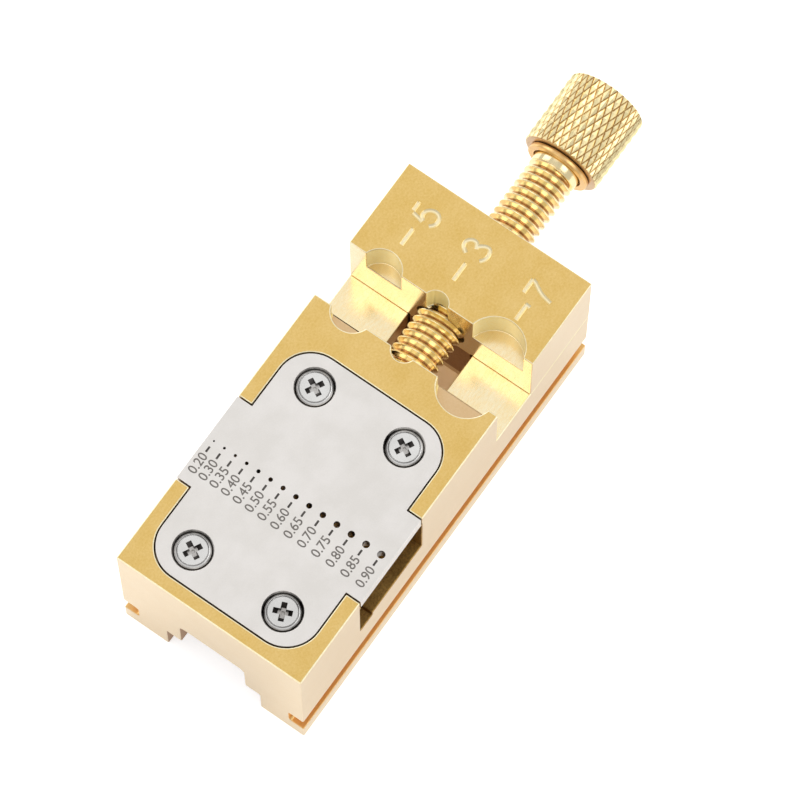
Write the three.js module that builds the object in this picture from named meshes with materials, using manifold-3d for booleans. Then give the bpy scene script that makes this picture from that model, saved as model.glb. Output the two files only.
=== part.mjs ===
// Watch wheel vise: a brass body whose fixed jaw carries a steel gauge plate, a brass jaw that
// slides along the body, and a thumb screw, threaded through the fixed jaw, that closes them.
// X runs from the gauge end towards the knob, Y across the vise and Z up from the bench.
// Lengths are in millimetres.
import * as THREE from "three";
import { mergeVertices } from "three/addons/utils/BufferGeometryUtils.js";
import Module from "manifold-3d";

const wasm = await Module();
wasm.setup();

// Body: tall under the gauge plate, and a low slide beyond it
const bodyWidth = 25;
const floorHeight = 13.4;
const slideLength = 18.3;
const edgeBreak = 0.2;

// Grooves along both sides
const sideGrooveDepth = 2.05;
const sideGrooveBottom = 2.9;
const sideGrooveHeight = 3.1;
const sideGrooveRadius = 0.5;

// Inverted T slot along the underside, whose neck opens through the floor of the slide
const slotWidth = 8.8;
const slotRoofBelowFloor = 2.6;
const slotRadius = 0.9;
const slotFootWidth = 12.9;
const slotFootHeight = 5;

// Gauge plate: round corners, and two ears that reach the sides of the body
const plateLength = 30.6;
const plateThickness = 1.95;
const plateSideMargin = 2;
const plateNearMargin = 1.85;
const plateFarMargin = 5.25;
const plateCornerRadius = 4.1;
const plateEarLength = 11.5;
const plateSideClearance = 0.15;
const plateSeatClearance = 0.1;

// Row of gauge holes across the plate, with equal webs between them
const gaugeDiameters = [
  0.2, 0.3, 0.35, 0.4, 0.45, 0.5, 0.55, 0.6, 0.65, 0.7, 0.75, 0.8, 0.85, 0.9,
];
const gaugeFirstMargin = 0.92;
const gaugeLastMargin = 1.33;

// Cross slot under the gauge holes, with a deeper step along its near side
const crossSlotWeb = 1.5;
const crossSlotStepLength = 2.25;
const crossSlotStepDepth = 0.8;

// Countersunk screws that hold the gauge plate
const plateScrewEndMargin = 3.73;
const plateScrewSideMargin = 4.4;
const plateScrewHeadDiameter = 4.2;
const plateScrewRim = 0.25;
const plateScrewDiameter = 2.4;
const plateScrewLength = 7;
const plateScrewClearance = 0.15;
const plateScrewTurns = [62, 23, 62, 62];

// Sliding jaw, opened as far as in the photograph
const jawOpening = 6.7;
const slidingJawLength = 11.6;
const slidingJawRise = 1.8;
const slideClearance = 0.15;
const tongueSideClearance = 0.2;

// Half-round wheel seats in the facing edges of both jaws
const wheelSeats = [
  { diameter: 5, acrossShare: 0.312, setback: 0.75 },
  { diameter: 3, acrossShare: 0.02, setback: 0.4 },
  { diameter: 7, acrossShare: -0.312, setback: 0.75 },
];
const wheelSeatDepth = 2.8;

// Keeper plate in the foot of the T slot, screwed to the tongue of the sliding jaw
const keeperThickness = 3.3;
const keeperEndMargin = 0.6;
const keeperSideClearance = 0.25;
const keeperSeatClearance = 0.1;
const keeperScrewShares = [-0.25, 0.25];
const keeperScrewHeadDiameter = 4;
const keeperScrewRim = 0.3;
const keeperScrewDiameter = 2;
const keeperScrewLength = 8;
const keeperScrewClearance = 0.15;

// Cross recess of the screw heads, as shares of the head's radius
const recessReachShare = 0.58;
const recessWidthShare = 0.3;
const recessDepthShare = 0.38;

// Clamp screw, with brass left below and above its hole in the fixed jaw
const threadDiameter = 6;
const threadClearance = 0.25;
const boreFloorWeb = 0.25;
const boreRoofWeb = 0.4;
const threadEngagement = 6;
const threadBeyondJaw = 10.1;
const threadChamfer = 0.6;
const neckLength = 1.95;
const spigotShoulder = 1;
const spigotChamfer = 0.3;

// Thrust washer between the sliding jaw and the knob
const washerWall = 0.8;
const washerThickness = 0.6;
const washerBoreClearance = 0.2;
const washerClearance = 0.1;

// Knob with a diamond knurl: crossed V grooves, counted round the knob and stepped along it
const knobDiameter = 10;
const knobLength = 9.6;
const knobChamfer = 0.45;
const knobEndWall = 2.4;
const knobShoulderGap = 0.05;
const spigotClearance = 0.15;
const knurlCount = 36;
const knurlStep = 1.18;
const knurlDepth = 0.25;

// Overrun of every cut, and the number of sides of arcs and rounds
const overrun = 1;
const arcSides = 6;
const holeSides = 12;
const smallSides = 24;
const roundSides = 48;

// Radii and clearances that follow
const halfWidth = bodyWidth / 2;
const threadRadius = threadDiameter / 2;
const boreRadius = threadRadius + threadClearance;
const spigotRadius = threadRadius - spigotShoulder;
const washerBoreRadius = threadRadius + washerBoreClearance;
const tongueHalfWidth = slotWidth / 2 - tongueSideClearance;

// Heights that follow, from the floor of the slide upwards and downwards
const slotHeight = floorHeight - slotRoofBelowFloor;
const crossSlotFloor = slotHeight + crossSlotWeb;
const screwAxisHeight = floorHeight + boreFloorWeb + boreRadius;
const pocketFloor = screwAxisHeight + boreRadius + boreRoofWeb;
const plateBottom = pocketFloor + plateSeatClearance;
const fixedJawTop = plateBottom + plateThickness;
const slidingJawTop = fixedJawTop + slidingJawRise;
const slidingJawSeat = floorHeight + slideClearance;
const wheelSeatFloor = fixedJawTop - wheelSeatDepth;
const tongueBottom = slotFootHeight - slideClearance;
const keeperTop = tongueBottom - keeperSeatClearance;
const keeperBottom = keeperTop - keeperThickness;

// Places along the vise that follow, from the gauge end
const plateCentreX = plateNearMargin + plateLength / 2;
const fixedJawFace = plateNearMargin + plateLength + plateFarMargin;
const bodyEnd = fixedJawFace + slideLength;
const crossSlotHalfLength = plateEarLength / 2 + plateSideClearance;
const crossSlotNear = plateCentreX - crossSlotHalfLength;
const crossSlotFar = plateCentreX + crossSlotHalfLength;
const slidingJawFace = fixedJawFace + jawOpening;
const slidingJawBack = slidingJawFace + slidingJawLength;
const slidingJawCentre = slidingJawFace + slidingJawLength / 2;
const screwTip = fixedJawFace - threadEngagement;
const neckEnd = slidingJawBack + threadBeyondJaw + neckLength;
const knobFace = neckEnd + knobShoulderGap;
const washerFace = knobFace - washerClearance - washerThickness;
const spigotEnd = knobFace + knobLength - knobEndWall - spigotClearance;
const overallLength = knobFace + knobLength;

// A closed geometry as a solid that can be joined and cut
function solidOf(geometry) {
  const bare = geometry.index ? geometry.toNonIndexed() : geometry.clone();
  bare.deleteAttribute("normal");
  bare.deleteAttribute("uv");
  const merged = mergeVertices(bare);
  const corners = merged.index.array;
  const kept = [];
  for (let i = 0; i < corners.length; i += 3) {
    const [a, b, c] = corners.slice(i, i + 3);
    if (a !== b && b !== c && c !== a) kept.push(a, b, c);
  }
  return new wasm.Manifold(new wasm.Mesh({
    numProp: 3,
    vertProperties: new Float32Array(merged.attributes.position.array),
    triVerts: new Uint32Array(kept),
  }));
}

function geometryOf(solid) {
  const mesh = solid.getMesh();
  const geometry = new THREE.BufferGeometry();
  geometry.setAttribute("position", new THREE.BufferAttribute(mesh.vertProperties, 3));
  geometry.setIndex(new THREE.BufferAttribute(mesh.triVerts, 1));
  geometry.computeVertexNormals();
  return geometry;
}

function cutAll(solid, cuts) {
  return cuts.reduce((rest, cut) => rest.subtract(cut), solid);
}

// A box given by its least and greatest X, Y and Z
function block([x0, x1], [y0, y1], [z0, z1]) {
  const box = new THREE.BoxGeometry(x1 - x0, y1 - y0, z1 - z0);
  return solidOf(box.translate((x0 + x1) / 2, (y0 + y1) / 2, (z0 + z1) / 2));
}

// A section drawn in Y and Z, drawn out along X
function alongX(shape, x0, x1) {
  const options = { depth: x1 - x0, bevelEnabled: false, curveSegments: arcSides };
  const axes = new THREE.Matrix4().makeBasis(
    new THREE.Vector3(0, 1, 0), new THREE.Vector3(0, 0, 1), new THREE.Vector3(1, 0, 0));
  return solidOf(new THREE.ExtrudeGeometry(shape, options).applyMatrix4(axes).translate(x0, 0, 0));
}

// A plan drawn in X and Y, drawn upwards
function upwards(shape, z0, z1) {
  const options = { depth: z1 - z0, bevelEnabled: false, curveSegments: arcSides };
  return solidOf(new THREE.ExtrudeGeometry(shape, options).translate(0, 0, z0));
}

// A profile of [place, radius] pairs turned about the screw's axis
function turnedX(profile, sides = roundSides) {
  const lathe = new THREE.LatheGeometry(profile.map(([x, r]) => new THREE.Vector2(r, x)), sides);
  return solidOf(lathe.rotateZ(-Math.PI / 2).translate(0, 0, screwAxisHeight));
}

// A profile of [height, radius] pairs turned about an upright axis
function turnedZ(profile, sides = smallSides) {
  const lathe = new THREE.LatheGeometry(profile.map(([z, r]) => new THREE.Vector2(r, z)), sides);
  return solidOf(lathe.rotateX(Math.PI / 2));
}

function rodX(radius, x0, x1) {
  return turnedX([[x0, 0], [x0, radius], [x1, radius], [x1, 0]]);
}

function rodZ(radius, z0, z1, sides = smallSides) {
  return turnedZ([[z0, 0], [z0, radius], [z1, radius], [z1, 0]], sides);
}

// Closed outline through right-angled corners, each with the radius of its rounding if it has one
function roundedOutline(corners) {
  const shape = new THREE.Shape();
  corners.forEach(([x, y, radius = 0], i) => {
    const corner = new THREE.Vector2(x, y);
    const [beforeX, beforeY] = corners.at(i - 1);
    const [afterX, afterY] = corners[(i + 1) % corners.length];
    const arrive = new THREE.Vector2(beforeX, beforeY).sub(corner).setLength(radius).add(corner);
    const leave = new THREE.Vector2(afterX, afterY).sub(corner).setLength(radius).add(corner);
    if (i === 0) shape.moveTo(arrive.x, arrive.y);
    else shape.lineTo(arrive.x, arrive.y);
    if (radius === 0) return;
    const centre = arrive.clone().add(leave).sub(corner);
    const from = arrive.clone().sub(centre);
    const to = leave.clone().sub(centre);
    const clockwise = from.cross(to) < 0;
    shape.absarc(centre.x, centre.y, radius, from.angle(), to.angle(), clockwise);
  });
  shape.closePath();
  return shape;
}

// Section of the body up to a height: side grooves, broken edges and the T slot
function bodySection(height) {
  const grooveTop = sideGrooveBottom + sideGrooveHeight;
  const grooveWall = halfWidth - sideGrooveDepth;
  const side = [
    [slotFootWidth / 2, 0],
    [halfWidth - edgeBreak, 0],
    [halfWidth, edgeBreak],
    [halfWidth, sideGrooveBottom],
    [grooveWall, sideGrooveBottom, sideGrooveRadius],
    [grooveWall, grooveTop, sideGrooveRadius],
    [halfWidth, grooveTop],
    [halfWidth, height - edgeBreak],
    [halfWidth - edgeBreak, height],
  ];
  const otherSide = side.map(([y, z, radius]) => [-y, z, radius]).reverse();
  const slot = [
    [-slotFootWidth / 2, slotFootHeight],
    [-slotWidth / 2, slotFootHeight],
    [-slotWidth / 2, slotHeight, slotRadius],
    [slotWidth / 2, slotHeight, slotRadius],
    [slotWidth / 2, slotFootHeight],
    [slotFootWidth / 2, slotFootHeight],
  ];
  return roundedOutline([...side, ...otherSide, ...slot]);
}

// Plan of the gauge plate about its centre, grown all round, with ears of a given reach
function platePlan(growth, earReach) {
  const x = plateLength / 2 + growth;
  const y = halfWidth - plateSideMargin + growth;
  const ear = plateEarLength / 2 + growth;
  const radius = plateCornerRadius + growth;
  return roundedOutline([
    [x, -y, radius],
    [x, y, radius],
    [ear, y],
    [ear, earReach],
    [-ear, earReach],
    [-ear, y],
    [-x, y, radius],
    [-x, -y, radius],
    [-ear, -y],
    [-ear, -earReach],
    [ear, -earReach],
    [ear, -y],
  ]);
}

// Seats cut into the edge of a jaw; their centres lie out in the opening, past its face
function wheelSeatCuts(face, outward, top) {
  return wheelSeats.map(({ diameter, acrossShare, setback }) => {
    const seat = rodZ(diameter / 2, wheelSeatFloor, top + overrun, roundSides);
    return seat.translate(face + outward * setback, acrossShare * bodyWidth, 0);
  });
}

function plateScrewPlaces() {
  const alongPlate = plateLength / 2 - plateScrewEndMargin;
  const acrossPlate = halfWidth - plateSideMargin - plateScrewSideMargin;
  const places = [];
  for (const end of [-1, 1]) {
    for (const side of [1, -1]) {
      places.push([plateCentreX + end * alongPlate, side * acrossPlate]);
    }
  }
  return places;
}

function keeperScrewPlaces() {
  return keeperScrewShares.map((share) => slidingJawCentre + share * slidingJawLength);
}

// Profile of a countersunk screw with its head's face at height 0, or of its hole when grown
function countersunkProfile({ headDiameter, rim, diameter, length }, growth) {
  const head = headDiameter / 2 + growth;
  const shank = diameter / 2 + growth;
  return [
    [-length - growth, 0],
    [-length - growth, shank],
    [shank - head - rim, shank],
    [-rim, head],
    [growth, head],
    [growth, 0],
  ];
}

const plateScrewSizes = {
  headDiameter: plateScrewHeadDiameter,
  rim: plateScrewRim,
  diameter: plateScrewDiameter,
  length: plateScrewLength,
};
const keeperScrewSizes = {
  headDiameter: keeperScrewHeadDiameter,
  rim: keeperScrewRim,
  diameter: keeperScrewDiameter,
  length: keeperScrewLength,
};

// The screw itself, with the arms of its cross recess turned to an angle in degrees
function countersunkScrew(sizes, turn) {
  const headRadius = sizes.headDiameter / 2;
  const reach = recessReachShare * headRadius;
  const halfArm = (recessWidthShare * headRadius) / 2;
  const arm = block([-reach, reach], [-halfArm, halfArm], [-recessDepthShare * headRadius, overrun]);
  const arms = [arm.rotate([0, 0, turn]), arm.rotate([0, 0, turn + 90])];
  return cutAll(turnedZ(countersunkProfile(sizes, 0)), arms);
}

function makeBody() {
  const slide = alongX(bodySection(floorHeight), 0, bodyEnd);
  const fixedJaw = alongX(bodySection(fixedJawTop), 0, fixedJawFace);
  const across = [-halfWidth - overrun, halfWidth + overrun];
  const openNeck = block(
    [fixedJawFace, bodyEnd + overrun],
    [-slotWidth / 2, slotWidth / 2],
    [slotFootHeight, floorHeight + overrun]);
  const pocket = upwards(
    platePlan(plateSideClearance, halfWidth + overrun), pocketFloor, fixedJawTop + overrun);
  const crossSlot = block([crossSlotNear, crossSlotFar], across, [crossSlotFloor, fixedJawTop]);
  const crossSlotStep = block(
    [crossSlotNear, crossSlotNear + crossSlotStepLength],
    across,
    [crossSlotFloor - crossSlotStepDepth, fixedJawTop]);
  const screwHole = rodZ(
    plateScrewDiameter / 2 + plateScrewClearance,
    fixedJawTop - plateScrewLength - plateScrewClearance,
    fixedJawTop);
  return cutAll(slide.add(fixedJaw), [
    openNeck,
    pocket.translate(plateCentreX, 0, 0),
    crossSlot,
    crossSlotStep,
    rodX(boreRadius, crossSlotFar - overrun, fixedJawFace + overrun),
    ...plateScrewPlaces().map(([x, y]) => screwHole.translate(x, y, 0)),
    ...wheelSeatCuts(fixedJawFace, 1, fixedJawTop),
  ]);
}

// Holes from the first margin to the last, each next place a web and two radii further on
function gaugeHoles() {
  const spans = gaugeDiameters.slice(1).map((diameter, i) => (diameter + gaugeDiameters[i]) / 2);
  const metal = bodyWidth - gaugeFirstMargin - gaugeLastMargin
    - spans.reduce((sum, span) => sum + span, 0);
  const web = metal / spans.length;
  let y = halfWidth - gaugeFirstMargin;
  return gaugeDiameters.map((diameter, i) => {
    if (i > 0) y -= web + spans[i - 1];
    const hole = rodZ(diameter / 2, plateBottom - overrun, fixedJawTop + overrun, holeSides);
    return hole.translate(plateCentreX, y, 0);
  });
}

function makeGaugePlate() {
  const plate = upwards(platePlan(0, halfWidth), plateBottom, fixedJawTop);
  const sink = turnedZ(countersunkProfile(plateScrewSizes, plateScrewClearance));
  return cutAll(plate.translate(plateCentreX, 0, 0), [
    ...gaugeHoles(),
    ...plateScrewPlaces().map(([x, y]) => sink.translate(x, y, fixedJawTop)),
  ]);
}

// Block above the floor and tongue down through the neck of the slot, in one piece
function makeSlidingJaw() {
  const section = roundedOutline([
    [-tongueHalfWidth, tongueBottom],
    [tongueHalfWidth, tongueBottom],
    [tongueHalfWidth, slidingJawSeat],
    [halfWidth, slidingJawSeat],
    [halfWidth, slidingJawTop - edgeBreak],
    [halfWidth - edgeBreak, slidingJawTop],
    [edgeBreak - halfWidth, slidingJawTop],
    [-halfWidth, slidingJawTop - edgeBreak],
    [-halfWidth, slidingJawSeat],
    [-tongueHalfWidth, slidingJawSeat],
  ]);
  const screwHole = rodZ(
    keeperScrewDiameter / 2 + keeperScrewClearance,
    tongueBottom - overrun,
    keeperBottom + keeperScrewLength + keeperScrewClearance);
  return cutAll(alongX(section, slidingJawFace, slidingJawBack), [
    rodX(boreRadius, slidingJawFace - overrun, slidingJawBack + overrun),
    ...keeperScrewPlaces().map((x) => screwHole.translate(x, 0, 0)),
    ...wheelSeatCuts(slidingJawFace, -1, slidingJawTop),
  ]);
}

function makeKeeperPlate() {
  const halfPlate = slotFootWidth / 2 - keeperSideClearance;
  const plate = block(
    [slidingJawFace + keeperEndMargin, slidingJawBack - keeperEndMargin],
    [-halfPlate, halfPlate],
    [keeperBottom, keeperTop]);
  const sink = turnedZ(countersunkProfile(keeperScrewSizes, keeperScrewClearance));
  const sinks = keeperScrewPlaces().map((x) =>
    sink.rotate([180, 0, 0]).translate(x, 0, keeperBottom));
  return cutAll(plate, sinks);
}

// Threaded length and neck at full diameter, then the spigot that the knob is fixed on
function makeClampScrew() {
  return turnedX([
    [screwTip, 0],
    [screwTip, threadRadius - threadChamfer],
    [screwTip + threadChamfer, threadRadius],
    [neckEnd, threadRadius],
    [neckEnd, spigotRadius],
    [spigotEnd - spigotChamfer, spigotRadius],
    [spigotEnd, spigotRadius - spigotChamfer],
    [spigotEnd, 0],
  ]);
}

function makeThrustWasher() {
  const washerRadius = washerBoreRadius + washerWall;
  return turnedX([
    [washerFace, washerBoreRadius],
    [washerFace, washerRadius],
    [washerFace + washerThickness, washerRadius],
    [washerFace + washerThickness, washerBoreRadius],
    [washerFace, washerBoreRadius],
  ]);
}

// Rod under two crossed sets of V grooves: on rings one step apart, groove crossings and diamond
// points take turns, and the faces between them are split along the grooves
function knurledRod(length) {
  const columns = 2 * knurlCount;
  const rows = Math.ceil(length / knurlStep) + 1;
  const start = (length - rows * knurlStep) / 2;
  const positions = [];
  const faces = [];
  for (let row = 0; row <= rows; row += 1) {
    for (let column = 0; column < columns; column += 1) {
      const depth = (column + row) % 2 === 0 ? knurlDepth : 0;
      const radius = knobDiameter / 2 - depth;
      const angle = (2 * Math.PI * column) / columns;
      positions.push(start + row * knurlStep, radius * Math.cos(angle), radius * Math.sin(angle));
    }
  }
  const nearCentre = positions.length / 3;
  positions.push(start, 0, 0, start + rows * knurlStep, 0, 0);
  for (let column = 0; column < columns; column += 1) {
    const next = (column + 1) % columns;
    const farRing = rows * columns;
    faces.push(nearCentre, next, column);
    faces.push(nearCentre + 1, farRing + column, farRing + next);
    for (let row = 0; row < rows; row += 1) {
      const [a, b] = [row * columns + column, row * columns + next];
      const [c, d] = [b + columns, a + columns];
      if ((column + row) % 2 === 0) faces.push(a, b, c, a, c, d);
      else faces.push(a, b, d, b, c, d);
    }
  }
  const geometry = new THREE.BufferGeometry();
  geometry.setAttribute("position", new THREE.Float32BufferAttribute(positions, 3));
  geometry.setIndex(faces);
  return solidOf(geometry);
}

// The rod cut to length with turned chamfers that run out through the knurl
function makeKnob() {
  const knobEnd = knobFace + knobLength;
  const faceRadius = knobDiameter / 2 - knobChamfer;
  const outside = turnedX([
    [knobFace, 0],
    [knobFace, faceRadius],
    [knobFace + knobChamfer + overrun, faceRadius + knobChamfer + overrun],
    [knobEnd - knobChamfer - overrun, faceRadius + knobChamfer + overrun],
    [knobEnd, faceRadius],
    [knobEnd, 0],
  ]);
  const bore = rodX(spigotRadius + spigotClearance, knobFace - overrun, knobEnd - knobEndWall);
  const rod = knurledRod(knobLength).translate(knobFace, 0, screwAxisHeight);
  return rod.intersect(outside).subtract(bore);
}

const brass = new THREE.MeshStandardMaterial({ color: 0xd9b873, roughness: 0.32, metalness: 1 });
const turnedBrass = new THREE.MeshStandardMaterial({ color: 0xe2bd6f, roughness: 0.25, metalness: 1 });
const bronze = new THREE.MeshStandardMaterial({ color: 0xb9853f, roughness: 0.35, metalness: 1 });
const gaugeSteel = new THREE.MeshStandardMaterial({ color: 0xe0dcd8, roughness: 0.4, metalness: 1 });
const screwSteel = new THREE.MeshStandardMaterial({ color: 0xcfcecc, roughness: 0.28, metalness: 1 });

// The pieces, built from the gauge end and then centred over the origin
const vise = new THREE.Group();
const pieces = new THREE.Group();
pieces.position.x = -overallLength / 2;
vise.add(pieces);

function addPiece(name, solid, material, x = 0, y = 0, z = 0) {
  const mesh = new THREE.Mesh(geometryOf(solid), material);
  mesh.name = name;
  mesh.position.set(x, y, z);
  pieces.add(mesh);
}

addPiece("body", makeBody(), brass);
addPiece("gauge_plate", makeGaugePlate(), gaugeSteel);
plateScrewPlaces().forEach(([x, y], i) => {
  const screw = countersunkScrew(plateScrewSizes, plateScrewTurns[i]);
  addPiece(`plate_screw_${i + 1}`, screw, screwSteel, x, y, fixedJawTop);
});
addPiece("sliding_jaw", makeSlidingJaw(), brass);
addPiece("keeper_plate", makeKeeperPlate(), brass);
keeperScrewPlaces().forEach((x, i) => {
  const screw = countersunkScrew(keeperScrewSizes, 0).rotate([180, 0, 0]);
  addPiece(`keeper_screw_${i + 1}`, screw, screwSteel, x, 0, keeperBottom);
});
addPiece("clamp_screw", makeClampScrew(), turnedBrass);
addPiece("thrust_washer", makeThrustWasher(), bronze);
addPiece("knurled_knob", makeKnob(), turnedBrass);

export default vise;
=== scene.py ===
import math

import bmesh
import bpy
from mathutils import Matrix, Vector


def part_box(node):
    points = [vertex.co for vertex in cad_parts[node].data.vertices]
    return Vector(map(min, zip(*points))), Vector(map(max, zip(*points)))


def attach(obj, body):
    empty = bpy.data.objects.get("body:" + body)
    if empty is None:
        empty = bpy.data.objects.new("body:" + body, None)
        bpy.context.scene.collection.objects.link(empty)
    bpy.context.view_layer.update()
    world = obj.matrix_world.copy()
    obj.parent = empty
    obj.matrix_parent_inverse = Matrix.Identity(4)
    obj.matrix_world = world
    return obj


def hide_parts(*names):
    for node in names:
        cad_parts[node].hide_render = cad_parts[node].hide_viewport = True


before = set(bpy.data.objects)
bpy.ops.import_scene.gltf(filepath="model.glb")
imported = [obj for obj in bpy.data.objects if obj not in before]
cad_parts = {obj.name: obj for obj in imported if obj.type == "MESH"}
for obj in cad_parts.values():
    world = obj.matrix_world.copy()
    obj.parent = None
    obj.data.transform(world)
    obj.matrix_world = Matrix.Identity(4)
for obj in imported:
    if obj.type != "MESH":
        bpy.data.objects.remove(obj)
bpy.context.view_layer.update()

mm = 0.001
along, upwards = 0, 2                     # axes of the frame, for the tests below
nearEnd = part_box("body")[0].x             # the gauge end of the body, where lengths start


def spot(x, y, z):
    # millimetres from the gauge end, the middle and the underside, as a point of the frame
    return Vector((nearEnd + x * mm, y * mm, z * mm))


def lengthOf(point):
    return (point.x - nearEnd) / mm


# Sizes that several pieces share, in millimetres, read from the frame where it has them
bodyLow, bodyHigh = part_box("body")
jawLow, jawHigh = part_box("sliding_jaw")
screwLow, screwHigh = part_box("clamp_screw")
washerLow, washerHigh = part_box("thrust_washer")
knobLow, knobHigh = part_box("knurled_knob")

halfWidth = bodyHigh.y / mm
bodyEnd = lengthOf(bodyHigh)
fixedTop = bodyHigh.z / mm
jawNear, jawFar = lengthOf(jawLow), lengthOf(jawHigh)
jawTop = jawHigh.z / mm
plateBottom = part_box("gauge_plate")[0].z / mm
axisHeight = (screwLow.z + screwHigh.z) / 2 / mm
slideFloor = 13.4
fixedFace = 37.7
beyond = 1.0                              # how far a cut runs out of the metal
fringe = 0.1                              # how far a region's paint reaches past its edges

print("frame loaded, body", round(bodyEnd, 2), "mm long")


# Modelling helpers

def pickOnly(*pieces):
    bpy.ops.object.select_all(action="DESELECT")
    for piece in pieces:
        piece.select_set(True)
    bpy.context.view_layer.objects.active = pieces[0]


def settle(name):
    # the new primitive gets its name, and its place goes into its mesh
    piece = bpy.context.object
    pickOnly(piece)
    bpy.ops.object.transform_apply(location=True, rotation=True, scale=True)
    piece.name = name
    piece.data.name = name
    return piece


def addBlock(name, xs, ys, zs):
    low, high = spot(xs[0], ys[0], zs[0]), spot(xs[1], ys[1], zs[1])
    bpy.ops.object.select_all(action="DESELECT")
    bpy.ops.mesh.primitive_cube_add(size=1, location=(low + high) / 2, scale=high - low)
    return settle(name)


def addRod(name, start, end, radius, sides=64):
    a, b = spot(*start), spot(*end)
    bpy.ops.object.select_all(action="DESELECT")
    bpy.ops.mesh.primitive_cylinder_add(
        vertices=sides, radius=radius * mm, depth=(b - a).length, location=(a + b) / 2,
        rotation=(b - a).to_track_quat("Z", "Y").to_euler())
    return settle(name)


def openAndPick(piece, kind, test):
    # into edit mode, with only the corners, edges or faces that pass the test picked
    pickOnly(piece)
    bpy.ops.object.mode_set(mode="EDIT")
    bpy.ops.mesh.select_mode(type=kind)
    bpy.ops.mesh.select_all(action="DESELECT")
    mesh = bmesh.from_edit_mesh(piece.data)
    for item in {"VERT": mesh.verts, "EDGE": mesh.edges, "FACE": mesh.faces}[kind]:
        if test(item):
            item.select_set(True)
    bmesh.update_edit_mesh(piece.data)
    return mesh


def closeEdit():
    bpy.ops.object.mode_set(mode="OBJECT")


def radiusOf(corner):
    # distance from the screw's axis, in millimetres
    return math.hypot(corner.co.y, corner.co.z - axisHeight * mm) / mm


def setRadius(corner, radius):
    out = Vector((0, corner.co.y, corner.co.z - axisHeight * mm)).normalized() * radius * mm
    corner.co.y, corner.co.z = out.y, out.z + axisHeight * mm


def runsAlong(edge, axis):
    line = edge.verts[1].co - edge.verts[0].co
    return abs(line[axis]) > 0.999 * line.length


def middleOf(edge):
    return (edge.verts[0].co + edge.verts[1].co) / 2


def near(value, wanted, slack=0.02):
    return abs(value - wanted) < slack * mm


def bevelEdges(piece, width, segments, test):
    openAndPick(piece, "EDGE", test)
    bpy.ops.mesh.bevel(offset=width * mm, segments=segments, affect="EDGES")
    closeEdit()
    return piece


def weld(piece, gap):
    openAndPick(piece, "VERT", lambda corner: True)
    bpy.ops.mesh.remove_doubles(threshold=gap * mm)
    closeEdit()


def applyModifier(piece, kind, **settings):
    modifier = piece.modifiers.new(kind.lower(), kind)
    for key, value in settings.items():
        setattr(modifier, key, value)
    pickOnly(piece)
    bpy.ops.object.modifier_apply(modifier=modifier.name)
    return piece


def combine(piece, tools, operation="DIFFERENCE"):
    for tool in tools:
        applyModifier(piece, "BOOLEAN", object=tool, operation=operation, solver="EXACT",
                      material_mode="TRANSFER")
        bpy.data.objects.remove(tool)
    return piece


def breakEdges(piece, width, segments=2, angle=35):
    return applyModifier(piece, "BEVEL", width=width * mm, segments=segments,
                         limit_method="ANGLE", angle_limit=math.radians(angle),
                         use_clamp_overlap=False, miter_outer="MITER_ARC")


def shade(piece, angle=35):
    pickOnly(piece)
    bpy.ops.object.shade_smooth_by_angle(angle=math.radians(angle))
    return applyModifier(piece, "WEIGHTED_NORMAL", keep_sharp=True, weight=60)


def paint(piece, finish, test=None):
    # gives the faces that pass the test a finish, or the whole piece where there is no test
    if test is None:
        piece.data.materials.clear()
        piece.data.materials.append(finish)
        for face in piece.data.polygons:
            face.material_index = 0
        return piece
    if finish.name not in [slot.name for slot in piece.data.materials]:
        piece.data.materials.append(finish)
    index = [slot.name for slot in piece.data.materials].index(finish.name)
    for face in piece.data.polygons:
        if test(face.center, face.normal):
            face.material_index = index
    return piece


def deliver(piece, body, slotName, *nodes):
    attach(piece, body)
    if nodes:
        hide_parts(*nodes)
    return piece


# Finishes

class Wire:
    # one output of a material's nodes, which can take part in sums
    def __init__(self, finish, socket):
        self.finish = finish
        self.socket = socket

    def __add__(self, other):
        return self.finish.maths("ADD", self, other)

    def __radd__(self, other):
        return self.finish.maths("ADD", other, self)

    def __sub__(self, other):
        return self.finish.maths("SUBTRACT", self, other)

    def __rsub__(self, other):
        return self.finish.maths("SUBTRACT", other, self)

    def __mul__(self, other):
        return self.finish.maths("MULTIPLY", self, other)

    def __rmul__(self, other):
        return self.finish.maths("MULTIPLY", other, self)


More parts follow.
